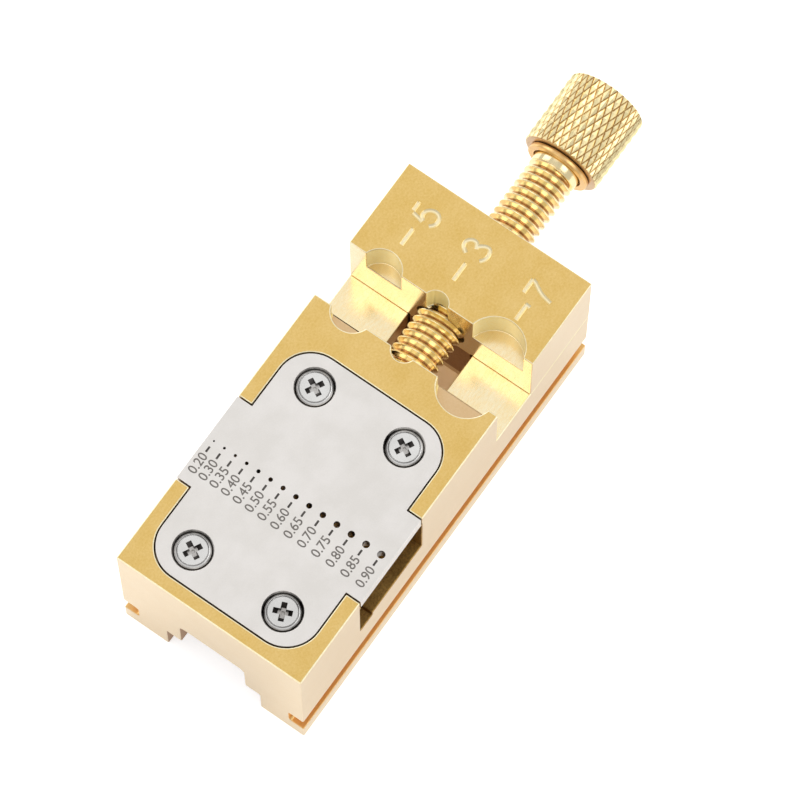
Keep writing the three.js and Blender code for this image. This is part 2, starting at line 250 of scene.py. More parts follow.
class Finish:
    # one material: constants go straight to the shader, the rest through nodes
    def __init__(self, name, constants):
        self.material = bpy.data.materials.new(name)
        self.material.use_nodes = True
        self.tree = self.material.node_tree
        self.shader = self.tree.nodes["Principled BSDF"]
        for socket, value in constants.items():
            self.shader.inputs[socket].default_value = value
        self.place = self.node("ShaderNodeTexCoord", {}, {}, "Object")

    def node(self, kind, settings, inputs, output=0):
        made = self.tree.nodes.new(kind)
        for key, value in settings.items():
            setattr(made, key, value)
        for key, value in inputs.items():
            self.feed(made.inputs[key], value)
        return Wire(self, made.outputs[output])

    def feed(self, socket, value):
        if isinstance(value, Wire):
            self.tree.links.new(value.socket, socket)
        else:
            socket.default_value = value

    def maths(self, operation, first, second=0.0):
        return self.node("ShaderNodeMath", {"operation": operation}, {0: first, 1: second})

    def surface(self, **wires):
        for name, wire in wires.items():
            self.feed(self.shader.inputs[name.replace("_", " ")], wire)
        return self.material

    def noise(self, size, detail=3.0, stretch=(1, 1, 1), roughness=0.5):
        # soft noise whose blotches are about size millimetres across
        where = self.node("ShaderNodeMapping", {}, {"Vector": self.place, "Scale": stretch})
        inputs = {"Vector": where, "Scale": 1 / (size * mm), "Detail": detail,
                  "Roughness": roughness}
        return self.node("ShaderNodeTexNoise", {}, inputs)

    def blend(self, factor, first, second):
        settings = {"data_type": "RGBA", "clamp_factor": True}
        return self.node("ShaderNodeMix", settings, {0: factor, 6: first, 7: second}, 2)

    def spread(self, wire, low, high):
        # stretches the middle of a noise to the whole way from 0 to 1
        inputs = {"Value": wire, 1: low, 2: high}
        return self.node("ShaderNodeMapRange", {"clamp": True}, inputs)

    def bump(self, height, depth):
        inputs = {"Height": height, "Distance": depth * mm, "Strength": 1.0}
        return self.node("ShaderNodeBump", {}, inputs)


def shadeOf(red, green, blue):
    # a colour given as it looks on screen, 0 to 255, as the light it sends back
    def light(value):
        value /= 255
        return value / 12.92 if value <= 0.04045 else ((value + 0.055) / 1.055) ** 2.4
    return (light(red), light(green), light(blue), 1.0)


brassGrain = {                            # sizes of the blotches, in millimetres
    "cloud": 3.0,
    "grain": 0.26,
    "fine": 0.07,
}


def brassFinish(name, colour, worn, roughness, rough, bumpDepth, stretch=(1, 1, 1), metal=1.0):
    # two close colours in a fine grain; rough is how much the roughness varies with it
    finish = Finish(name, {"Metallic": metal})
    cloud = finish.spread(finish.noise(brassGrain["cloud"], 4.0), 0.3, 0.7)
    grain = finish.noise(brassGrain["grain"], 4.0, stretch, 0.7)
    fine = finish.noise(brassGrain["fine"], 2.0, stretch)
    mottle = finish.spread(cloud * 0.18 + grain * 0.82, 0.30, 0.70)
    tone = finish.blend(mottle, colour, worn)
    gloss = roughness - rough / 2 + rough * grain
    return finish.surface(Base_Color=tone, Roughness=gloss,
                          Normal=finish.bump(grain * 0.7 + fine * 0.3, bumpDepth))


def radialShadeFinish(name, outside, inside, low, high, roughness, wearAndShadeJitter):
    # turned brass with painted shade: darker from the radius high down to the radius low, in thread
    # roots and knurl grooves; the last argument is how far the grain moves the shade's edge
    finish = Finish(name, {"Metallic": 1.0})
    place = finish.node("ShaderNodeSeparateXYZ", {}, {"Vector": finish.place})
    depth = Wire(finish, place.socket.node.outputs["Y"])
    height = Wire(finish, place.socket.node.outputs["Z"]) - axisHeight * mm
    radial = finish.node("ShaderNodeCombineXYZ", {}, {"X": depth, "Y": height})
    radius = finish.node("ShaderNodeVectorMath", {"operation": "LENGTH"}, {0: radial}, "Value")
    grain = finish.noise(0.3, 4.0, (1, 1, 1), 0.65)
    raised = finish.spread(radius + (grain - 0.5) * wearAndShadeJitter * mm, low * mm, high * mm)
    tone = finish.blend(raised, inside, outside)
    return finish.surface(Base_Color=tone, Roughness=roughness + 0.1 * (grain - 0.5),
                          Normal=finish.bump(grain, 0.003))


brass = {
    "top": brassFinish("satin_brass", shadeOf(242, 209, 138), shadeOf(228, 190, 106),
                       0.40, 0.12, 0.014),
    # painted highlight: smoother brass, painted pale for the slide floor and the jaw's near face
    "floor": brassFinish("polished_brass_painted_highlight", shadeOf(255, 241, 204), shadeOf(253, 229, 176),
                         0.20, 0.05, 0.003, (0.4, 1, 1)),
    # painted light: the sides are a paler copy of the top brass, for the bright floor they reflect
    "side": brassFinish("side_brass_painted_light", shadeOf(237, 216, 181), shadeOf(233, 209, 170),
                        0.30, 0.08, 0.005, (1, 1, 3)),
    # painted highlight: the broken edges are painted paler
    "edge": brassFinish("edge_brass_painted_highlight", shadeOf(255, 246, 214), shadeOf(252, 236, 190),
                        0.30, 0.08, 0.003),
    # painted light: the side grooves get their own warmer tone, for the light in them
    "groove": brassFinish("groove_brass_painted_light", shadeOf(244, 202, 138), shadeOf(236, 188, 116),
                          0.38, 0.10, 0.006, (0.3, 1, 1)),
    # painted light: the seats' walls are painted pale and made less metallic, so that they look
    # brightly lit
    "seat": brassFinish("seat_brass_painted_light", shadeOf(255, 240, 178), shadeOf(252, 226, 146),
                        0.26, 0.08, 0.004, (1, 1, 1), 0.12),
    "dark": brassFinish("shaded_brass", shadeOf(206, 166, 96), shadeOf(136, 102, 54),
                        0.34, 0.14, 0.030),
    # painted shade: the seats' floors are a greyer, slightly darker copy of the top brass
    "shelf": brassFinish("shelf_brass_painted_shade", shadeOf(232, 200, 156), shadeOf(224, 190, 142),
                         0.34, 0.08, 0.006),
    # painted highlight: the small notch in the sliding jaw is painted pale and made less metallic
    "notch": brassFinish("notch_brass_painted_highlight", shadeOf(255, 242, 180), shadeOf(255, 230, 148),
                         0.36, 0.06, 0.003, (1, 1, 1), 0.12),
    # painted shade: the T slot's walls and the jaw's underside are painted darker
    "slot": brassFinish("slot_brass_painted_shade", shadeOf(190, 148, 104), shadeOf(172, 130, 88),
                        0.40, 0.10, 0.006),
    "face": brassFinish("faced_brass", shadeOf(214, 184, 148), shadeOf(204, 172, 134),
                        0.30, 0.08, 0.004),
    "engraved": brassFinish("engraved_brass", shadeOf(255, 244, 208), shadeOf(252, 232, 182),
                            0.28, 0.05, 0.003),
    "bronze": brassFinish("bronze_finish", shadeOf(246, 206, 142), shadeOf(236, 190, 122),
                          0.30, 0.08, 0.004),
    "turned": radialShadeFinish("turned_brass_painted_root_shade", shadeOf(255, 236, 186), shadeOf(176, 120, 64),
                          2.42, 2.52, 0.18, 0.08),
    # painted shade: darker in the knurl's grooves
    "knurl": radialShadeFinish("knurled_brass", shadeOf(255, 238, 184), shadeOf(172, 124, 64),
                         4.735, 4.81, 0.28, 0.14),
}


def steelFinish(name, colour, other, roughness, bumpDepth):
    finish = Finish(name, {"Metallic": 1.0})
    grain = finish.noise(0.16, 4.0, (1, 1, 1), 0.6)
    cloud = finish.spread(finish.noise(3.5, 3.0), 0.3, 0.7)
    tone = finish.blend(finish.spread(cloud * 0.5 + grain * 0.5, 0.3, 0.7), colour, other)
    return finish.surface(Base_Color=tone, Roughness=roughness - 0.04 + 0.08 * grain,
                          Normal=finish.bump(grain, bumpDepth))


steel = {
    "plate": steelFinish("matt_gauge_steel", shadeOf(240, 236, 232), shadeOf(233, 229, 224),
                         0.42, 0.003),
    "screw": steelFinish("bright_screw_steel", shadeOf(232, 231, 229), shadeOf(220, 219, 217),
                         0.24, 0.003),
    # painted highlight: the heads' rim bevels are painted near white, a glint ring
    "rim": steelFinish("rim_steel_painted_glint", shadeOf(252, 251, 249), shadeOf(240, 239, 237),
                       0.30, 0.003),
    # painted shade: the cross recesses' walls and the ring inside each head's rim are dark
    "recess": steelFinish("recess_steel_painted_shade", shadeOf(112, 108, 106), shadeOf(62, 58, 56),
                          0.40, 0.004),
    # painted shade: the floors of the cross recesses are a greyer steel
    "hollow": steelFinish("hollow_steel_painted_shade", shadeOf(206, 203, 200), shadeOf(176, 172, 168),
                          0.34, 0.004),
    # painted shade: the countersinks' walls, in the gap round each head, are mottled dark
    "sink": steelFinish("sink_steel_painted_shade", shadeOf(214, 210, 206), shadeOf(40, 36, 34),
                        0.40, 0.004),
}


def inkFinish(name, full, worn):
    finish = Finish(name, {"Metallic": 0.0, "Roughness": 0.55})
    wearAndShadeJitter = finish.spread(finish.noise(0.12, 3.0), 0.35, 0.75)
    return finish.surface(Base_Color=finish.blend(wearAndShadeJitter, shadeOf(*full), shadeOf(*worn)))


ink = {
    "dash": inkFinish("dash_ink", (46, 41, 38), (84, 78, 72)),
    "label": inkFinish("label_ink", (86, 81, 77), (130, 124, 118)),
}
print("finishes ready")


# Body, with its fixed jaw, slide, T slot, grooves, plate pocket and cross slot

bodySizes = {
    "grooveDepth": 2.05,
    "grooveBottom": 2.9,
    "grooveTop": 6.0,
    "grooveRound": 0.5,
    "neckHalf": 4.4,
    "neckRoof": 10.8,
    "neckRound": 0.9,
    "footHalf": 6.45,
    "footTop": 5.0,
    "fineEdge": 0.15,
    "pocketGap": 0.16,
    "pocketFloor": 20.55,
    "crossNear": 11.25,
    "crossFar": 23.05,
    "crossFloor": 12.3,
    "crossUnder": 1.0,                    # from the top of the fixed jaw down to the slot's top
    "stepEnd": 13.5,
    "stepFloor": 11.5,
    "screwBore": 3.25,
    "seatFloor": 19.8,
}
wheelSeats = [                            # across, radius and how far past the jaw's face
    (7.8, 2.5, 0.75),
    (0.5, 1.5, 0.4),
    (-7.8, 3.5, 0.75),
]
plateSizes = {
    "near": 1.85,
    "far": 32.45,
    "half": 10.5,
    "corner": 4.1,
    "earNear": 11.4,
    "earFar": 22.9,
    "edge": 0.05,
}


def platePlan(name, grow, zs, earReach):
    # rounded plate with an ear to each side, drawn up from zs[0] to zs[1]
    p = plateSizes
    slab = addBlock(name, (p["near"] - grow, p["far"] + grow),
                    (-p["half"] - grow, p["half"] + grow), zs)
    bevelEdges(slab, p["corner"] + grow, 12, lambda edge: runsAlong(edge, upwards))
    ears = addBlock("ears", (p["earNear"] - grow, p["earFar"] + grow),
                    (-earReach, earReach), zs)
    return combine(slab, [ears], "UNION")


def seatTools(face, outward, floor, top):
    tools = []
    for y, radius, setback in wheelSeats:
        x = face + outward * setback
        tools.append(addRod("seat", (x, y, floor), (x, y, top + beyond), radius, 72))
    return tools


def inSeat(at, face, outward):
    # on the round wall of a wheel seat, above its floor
    if not bodySizes["seatFloor"] + 0.02 < at.z / mm < jawTop - 0.05:
        return False  # the floor of a seat has its own finish
    return any(math.hypot(lengthOf(at) - face - outward * setback, at.y / mm - y) < radius + 0.03
               for y, radius, setback in wheelSeats)


def makeBody():
    b = bodySizes
    whole = (-beyond, bodyEnd + beyond)
    slide = (fixedFace, bodyEnd + beyond)
    outside = (-halfWidth - beyond, halfWidth + beyond)
    block = addBlock("brass_body", (0, bodyEnd), (-halfWidth, halfWidth), (0, fixedTop))
    combine(block, [addBlock("step", slide, outside, (slideFloor, fixedTop + beyond))])

    grooves = []
    for side in (-1, 1):
        wall = side * (halfWidth - b["grooveDepth"])
        groove = addBlock("groove", whole, sorted((wall, side * (halfWidth + beyond))),
                          (b["grooveBottom"], b["grooveTop"]))
        bevelEdges(groove, b["grooveRound"], 5, lambda edge: runsAlong(edge, along)
                   and near(middleOf(edge).y, wall * mm))
        grooves.append(groove)
    neck = addBlock("neck", whole, (-b["neckHalf"], b["neckHalf"]), (-beyond, b["neckRoof"]))
    bevelEdges(neck, b["neckRound"], 8, lambda edge: runsAlong(edge, along)
               and near(middleOf(edge).z, b["neckRoof"] * mm))
    foot = addBlock("foot", whole, (-b["footHalf"], b["footHalf"]), (-beyond, b["footTop"]))
    openNeck = addBlock("openNeck", slide, (-b["neckHalf"], b["neckHalf"]),
                        (b["footTop"] - beyond, slideFloor + beyond))
    combine(block, grooves + [neck, foot, openNeck])

    slotTop = fixedTop - b["crossUnder"]
    cuts = [
        addBlock("crossSlot", (b["crossNear"], b["crossFar"]), outside,
                 (b["crossFloor"], slotTop)),
        addBlock("crossStep", (b["crossNear"], b["stepEnd"]), outside,
                 (b["stepFloor"], slotTop)),
        platePlan("pocket", b["pocketGap"], (b["pocketFloor"], fixedTop + beyond),
                  halfWidth + beyond),
        addRod("bore", (b["crossFar"] - beyond, 0, axisHeight),
               (fixedFace + beyond, 0, axisHeight), b["screwBore"]),
    ]
    combine(block, cuts + seatTools(fixedFace, 1, b["seatFloor"], fixedTop))
    breakEdges(block, b["fineEdge"])
    # painted light: every face starts in the paler side brass
    paint(block, brass["side"])
    paint(block, brass["top"], lambda at, to: to.z > 0.9 and at.z > (fixedTop - fringe) * mm)
    # painted highlight: the slide floor is painted pale
    paint(block, brass["floor"], lambda at, to: to.z > 0.5
          and near(at.z, slideFloor * mm, fringe))
    # painted shade: the seats' floors are greyer and darker
    paint(block, brass["shelf"], lambda at, to: to.z > 0.5
          and near(at.z, b["seatFloor"] * mm, fringe))
    # painted light: the seats' walls are pale
    paint(block, brass["seat"], lambda at, to: inSeat(at, fixedFace, 1))
    # painted shade: the cross slot's walls and roof are painted dark
    paint(block, brass["dark"], lambda at, to: b["stepFloor"] - fringe < at.z / mm < slotTop
          and b["crossNear"] - fringe < lengthOf(at) < b["crossFar"] + fringe
          and abs(at.y) < (halfWidth - 0.02) * mm)
    # painted shade: the T slot's walls and roof are painted darker
    paint(block, brass["slot"], lambda at, to: abs(to.x) < 0.5
          and abs(at.y / mm) < b["footHalf"] + fringe
          and fringe / 2 < at.z / mm < b["neckRoof"] + fringe)
    # painted highlight: the chamfers along the top and the slide floor are painted pale
    paint(block, brass["edge"], lambda at, to: 0.25 < to.z < 0.95
          and (at.z > (fixedTop - 0.25) * mm or near(at.z, slideFloor * mm, 2 * fringe)))
    # painted light: the grooves' walls get their warmer tone
    paint(block, brass["groove"], lambda at, to: abs(to.x) < 0.5
          and halfWidth - b["grooveDepth"] - fringe < abs(at.y / mm) < halfWidth - 0.02
          and b["grooveBottom"] - fringe / 2 < at.z / mm < b["grooveTop"] + fringe / 2)
    shade(block)
    return deliver(block, "base", "brass", "body")


body = makeBody()
print("body", len(body.data.polygons), "faces")


# Gauge plate with its row of holes, and the scale printed on it

gauge = {
    "diameters": [0.20, 0.30, 0.35, 0.40, 0.45, 0.50, 0.55, 0.60, 0.65, 0.70, 0.75, 0.80,
                  0.85, 0.90],
    "row": 17.15,
    "firstAcross": 11.58,
    "lastAcross": -11.17,
    "dash": (15.6, 16.37),
    "dashWidth": 0.25,
    "labels": (12.77, 15.31),
    "labelHeight": 1.15,
    "labelBolder": 0.008,
    "lift": 0.002,
    "inkDepth": 0.006,
}
plateScrews = [                           # along, across and the turn of the cross
    (5.58, 6.1, 62),
    (5.58, -6.1, 23),
    (28.72, 6.1, 62),
    (28.72, -6.1, 62),
]
plateScrewSizes = {
    "head": 2.1,
    "sink": 2.38,
    "sinkDepth": 2.3,
    "slope": 0.42,
    "rim": 0.26,
    "ring": 0.07,
    "shank": 1.2,
    "length": 7.0,
    "shankTop": 2.2,                      # below the top of the head
    "shankNeck": 0.86,
    "cone": 0.9,
    "wall": 0.18,
    "flat": 1.84,
    "edge": 0.03,
    "reach": 1.42,                        # the cross, its arms and its pit
    "arm": 0.74,
    "armTaper": (0.42, 0.7, 1),
    "depth": 0.6,
    "pit": 0.56,
    "pitDeeper": 0.25,
    "pitTaper": (0.3, 0.3, 1),
    "above": 0.3,
}


def holePlaces():
    # each place follows the last by a web and two radii, and the webs are all alike
    sizes = gauge["diameters"]
    spans = [(a + b) / 2 for a, b in zip(sizes, sizes[1:])]
    web = (gauge["firstAcross"] - gauge["lastAcross"] - sum(spans)) / len(spans)
    places = [gauge["firstAcross"]]
    for span in spans:
        places.append(places[-1] - web - span)
    return places


def makeGaugePlate():
    plate = platePlan("steel_gauge_plate", 0, (plateBottom, fixedTop), halfWidth)
    tools = []
    for y, diameter in zip(holePlaces(), gauge["diameters"]):
        tools.append(addRod("hole", (gauge["row"], y, plateBottom - beyond),
                            (gauge["row"], y, fixedTop + beyond), diameter / 2, 28))
    s = plateScrewSizes
    for x, y, turn in plateScrews:
        top, bottom = s["sink"] + s["slope"] * beyond, s["sink"] - s["slope"] * s["sinkDepth"]
        sink = addRod("sink", (x, y, fixedTop - s["sinkDepth"]), (x, y, fixedTop + beyond), top)
        openAndPick(sink, "FACE", lambda face: face.normal.z < -0.9)
        bpy.ops.transform.resize(value=(bottom / top, bottom / top, 1),
                                 center_override=spot(x, y, fixedTop))
        closeEdit()
        tools.append(sink)
    paint(plate, steel["plate"])
    # painted shade: the countersinks take the dark sink steel from their tools
    combine(plate, [paint(tool, steel["sink"]) for tool in tools])
    breakEdges(plate, plateSizes["edge"])
    shade(plate)
    return deliver(plate, "base", "gauge_steel", "gauge_plate")


def makeDash(y, top, words):
    half = gauge["dashWidth"] / 2
    dash = addBlock("dash", gauge["dash"], (y - half, y + half), (top, top + gauge["inkDepth"]))
    return bevelEdges(dash, half * 0.5, 3, lambda edge: runsAlong(edge, upwards))


def makeLabel(y, top, words):
    bpy.ops.object.select_all(action="DESELECT")
    bpy.ops.object.text_add()
    label = bpy.context.object
    label.data.body = words
    label.data.extrude = gauge["inkDepth"] / 2 * mm
    label.data.size = 1.0 * mm
    label.data.offset = gauge["labelBolder"] * mm
    label.data.resolution_u = 4
    bpy.ops.object.convert(target="MESH")
    label = bpy.context.object
    label.scale = ((gauge["labels"][1] - gauge["labels"][0]) * mm / label.dimensions.x,
                   gauge["labelHeight"] * mm / label.dimensions.y, 1)
    bpy.ops.object.transform_apply(location=False, rotation=False, scale=True)
    corners = [vertex.co for vertex in label.data.vertices]
    left = min(co.x for co in corners)
    middle = (min(co.y for co in corners) + max(co.y for co in corners)) / 2
    label.location = spot(gauge["labels"][0], y, top + gauge["inkDepth"] / 2)
    label.location -= Vector((left, middle, 0))
    return settle("label")


def makeScale(name, maker, finish):
    # one piece of thin print from the marks that maker gives for each hole
    top = fixedTop + gauge["lift"]
    marks = [maker(y, top, f"{diameter:.2f}") for y, diameter
             in zip(holePlaces(), gauge["diameters"])]
    pickOnly(*marks)
    bpy.ops.object.join()
    scale = settle(name)
    paint(scale, finish)
    return deliver(scale, "base", "gauge_steel")


def crossTools(x, y, top, turn, s):
    # two tapered arms whose walls are painted dark as painted shade, and the bright pit where a
    # driver's point goes
    tools = []
    for quarter in (0, 90):
        arm = addBlock("arm", (x - s["reach"], x + s["reach"]),
                       (y - s["arm"] / 2, y + s["arm"] / 2),
                       (top - s["depth"], top + s["above"]))
        openAndPick(arm, "FACE", lambda face: face.normal.z < -0.9)
        bpy.ops.transform.resize(value=s["armTaper"], center_override=spot(x, y, top))
        bpy.ops.mesh.select_all(action="SELECT")
        bpy.ops.transform.rotate(value=math.radians(-turn - quarter), orient_axis="Z",
                                 center_override=spot(x, y, top))
        closeEdit()
        tools.append(paint(arm, steel["recess"]))
    pit = addRod("pit", (x, y, top - s["depth"] - s["pitDeeper"]), (x, y, top + s["above"]),
                 s["pit"], 24)
    openAndPick(pit, "FACE", lambda face: face.normal.z < -0.9)
    bpy.ops.transform.resize(value=s["pitTaper"], center_override=spot(x, y, top))
    closeEdit()
    tools.append(paint(pit, steel["screw"]))
    return tools


def drawUp(height):
    # extrudes the picked face upwards
    bpy.ops.mesh.extrude_region_move(TRANSFORM_OT_translate={"value": (0, 0, height * mm)})


def makePlateScrew(index, x, y, turn):
    s = plateScrewSizes
    screw = addRod(f"cross_screw_{index}", (x, y, fixedTop - s["length"]),
                   (x, y, fixedTop - s["shankTop"]), s["shank"], 48)
    wide = s["head"] / s["shank"]
    taper = s["flat"] / s["head"]
    openAndPick(screw, "FACE", lambda face: face.normal.z > 0.9)
    drawUp(s["shankNeck"])
    drawUp(s["cone"])
    bpy.ops.transform.resize(value=(wide, wide, 1), center_override=spot(x, y, fixedTop))
    drawUp(s["wall"])
    drawUp(s["rim"])
    bpy.ops.transform.resize(value=(taper, taper, 1), center_override=spot(x, y, fixedTop))
    bpy.ops.mesh.inset(thickness=s["ring"] * mm, depth=-s["ring"] * mm)
    bpy.ops.mesh.inset(thickness=s["ring"] * mm, depth=s["ring"] * 0.6 * mm)
    closeEdit()
    breakEdges(screw, s["edge"], 2, 20)
    paint(screw, steel["screw"])
    # painted highlight: the rim bevel is painted near white
    paint(screw, steel["rim"], lambda at, to: 0.2 < to.z < 0.9 and at.z > (fixedTop - 0.3) * mm)
    # painted shade: the ring inside the rim is painted dark
    paint(screw, steel["recess"], lambda at, to: to.z < 0.98 and at.z > (fixedTop - 0.2) * mm
          and math.hypot(lengthOf(at) - x, at.y / mm - y) < s["flat"] - 0.01)
    combine(screw, crossTools(x, y, fixedTop, turn, s))
    # painted shade: the recess floors are greyer
    paint(screw, steel["hollow"], lambda at, to: 0.9 < to.z and at.z < (fixedTop - 0.4) * mm
          and math.hypot(lengthOf(at) - x, at.y / mm - y) < s["flat"])
    shade(screw)
    return deliver(screw, "base", "screw_steel", f"plate_screw_{index}")


makeGaugePlate()
makeScale("gauge_dashes", makeDash, ink["dash"])
makeScale("gauge_labels", makeLabel, ink["label"])
screws = [makePlateScrew(i + 1, *place) for i, place in enumerate(plateScrews)]
print("gauge plate, scale and", len(screws), "screws")


# Sliding jaw with its tongue, seats and engraved sizes

jawSizes = {
    "tongueHalf": 4.2,
    "tongueBottom": 4.85,
    "seat": 13.55,
    "bore": 3.25,
    "fineEdge": 0.11,
    "strokeRadius": 0.30,
    "strokeSink": 0.08,
    "strokeShift": -0.3,                  # the jaw stands 0.3 mm to one side in the photograph
    # the polished walls are also painted pale, a painted highlight
    "polished": 4.2,                      # how far in from its near end its walls are polished
    "weldGap": 0.002,
}
engraving = [                             # strokes on the jaw's top, along and across
    [(47.5, 7.89), (49.9, 7.89)],
    [(52.88, 9.14), (51.63, 9.14)],
    [(51.40, 9.04), (51.12, 7.55)],
    [(51.20, 7.60), (51.63, 7.95), (52.10, 8.02), (52.55, 7.80), (52.86, 7.30), (52.92, 6.83),
     (52.69, 6.35), (52.30, 6.08), (51.80, 6.06), (51.36, 6.25), (51.06, 6.64)],
    [(47.4, 0.72), (49.9, 0.72)],
    [(50.87, 1.45), (51.20, 1.95), (51.60, 2.22), (52.05, 2.22), (52.46, 1.95), (52.69, 1.40),
     (52.45, 0.95), (51.92, 0.68)],
    [(52.22, 0.80), (52.62, 0.35), (52.85, -0.20), (52.72, -0.62), (52.30, -0.84),
     (51.70, -0.86), (51.25, -0.70), (50.92, -0.38)],
    [(47.6, -7.65), (49.8, -7.65)],
    [(49.75, -7.45), (49.70, -8.12)],
    [(50.77, -6.53), (52.72, -6.50)],
    [(52.62, -6.52), (52.50, -6.95), (52.22, -7.40), (51.90, -7.95), (51.63, -8.65),
     (51.45, -9.71)],
]


def strokeTool(points, top, radius, smooth):
    curve = bpy.data.curves.new("stroke", "CURVE")
    curve.dimensions = "3D"
    curve.bevel_depth = radius * mm
    curve.bevel_resolution = 3
    curve.use_fill_caps = True
    curve.resolution_u = 6
    line = curve.splines.new("NURBS" if smooth else "POLY")
    line.points.add(len(points) - 1)
    for point, (x, y) in zip(line.points, points):
        point.co = (*spot(x, y + jawSizes["strokeShift"], top), 1)
    if smooth:
        line.order_u = 3
        line.use_endpoint_u = True
    tool = bpy.data.objects.new("stroke", curve)
    bpy.context.scene.collection.objects.link(tool)
    pickOnly(tool)
    bpy.ops.object.convert(target="MESH")
    return settle("stroke")


def makeSlidingJaw():
    j = jawSizes
    block = addBlock("brass_sliding_jaw", (jawNear, jawFar), (-halfWidth, halfWidth),
                     (j["seat"], jawTop))
    tongue = addBlock("tongue", (jawNear, jawFar), (-j["tongueHalf"], j["tongueHalf"]),
                      (j["tongueBottom"], j["seat"] + beyond))
    combine(block, [tongue], "UNION")
    bore = addRod("bore", (jawNear - beyond, 0, axisHeight), (jawFar + beyond, 0, axisHeight),
                  j["bore"])
    combine(block, [bore] + seatTools(jawNear, -1, bodySizes["seatFloor"], jawTop))
    breakEdges(block, j["fineEdge"])
    # painted light: every face starts in the paler side brass
    paint(block, brass["side"])
    paint(block, brass["top"], lambda at, to: to.z > 0.9 and at.z > (jawTop - fringe) * mm)
    # painted highlight: the jaw's near walls are painted pale
    paint(block, brass["floor"], lambda at, to: lengthOf(at) < jawNear + j["polished"]
          and j["seat"] - fringe < at.z / mm < jawTop - 2 * fringe
          and abs(at.y) < (halfWidth - fringe) * mm)
    # painted light: the seats' walls are pale
    paint(block, brass["seat"], lambda at, to: inSeat(at, jawNear, -1))
    # painted highlight: the small notch is painted pale
    paint(block, brass["notch"], lambda at, to: inSeat(at, jawNear, -1)
          and abs(at.y / mm - wheelSeats[1][0]) < wheelSeats[1][1] + fringe)
    # painted shade: the tongue under the jaw is painted darker
    paint(block, brass["slot"], lambda at, to: at.z < (j["seat"] - fringe) * mm and to.x < 0.9)
    # painted highlight: the chamfers along the jaw's top are painted pale
    paint(block, brass["edge"], lambda at, to: 0.25 < to.z < 0.95
          and at.z > (jawTop - 2 * fringe) * mm)
    top = jawTop + j["strokeSink"]
    tools = [strokeTool(points, top, j["strokeRadius"], len(points) > 5) for points in engraving]
    combine(block, [paint(tool, brass["engraved"]) for tool in tools])
    weld(block, j["weldGap"])
    shade(block)
    return deliver(block, "jaw", "brass", "sliding_jaw")


slidingJaw = makeSlidingJaw()
print("sliding jaw", len(slidingJaw.data.polygons), "faces")


# Clamp screw: right-hand thread, smooth neck and the spigot inside the knob

thread = {
    "radius": 3.0,
    "root": 2.42,
    "pitch": 1.0,
    "crestAt": 57.507,                    # where a crest lies on the upper side
    "threadEnd": 66.6,
    "chamfer": 0.6,
    "steps": 60,                          # a turn
    "neckRadius": 2.98,
    "neckOverlap": 0.3,                   # how far the neck reaches into the thread
    "neckChamfer": 0.25,
    "neckGap": 0.05,
    "spigot": 2.0,
    "weldGap": 0.001,
    "cutSlack": 0.0002,
    "profile": [                          # share of the pitch, share of the thread's depth
        (0.0, 0.0), (0.05, 0.0), (0.12, 0.10), (0.34, 0.76), (0.42, 0.95), (0.5, 1.0),
        (0.58, 0.95), (0.66, 0.76), (0.88, 0.10), (0.95, 0.0), (1.0, 0.0),
    ],
}


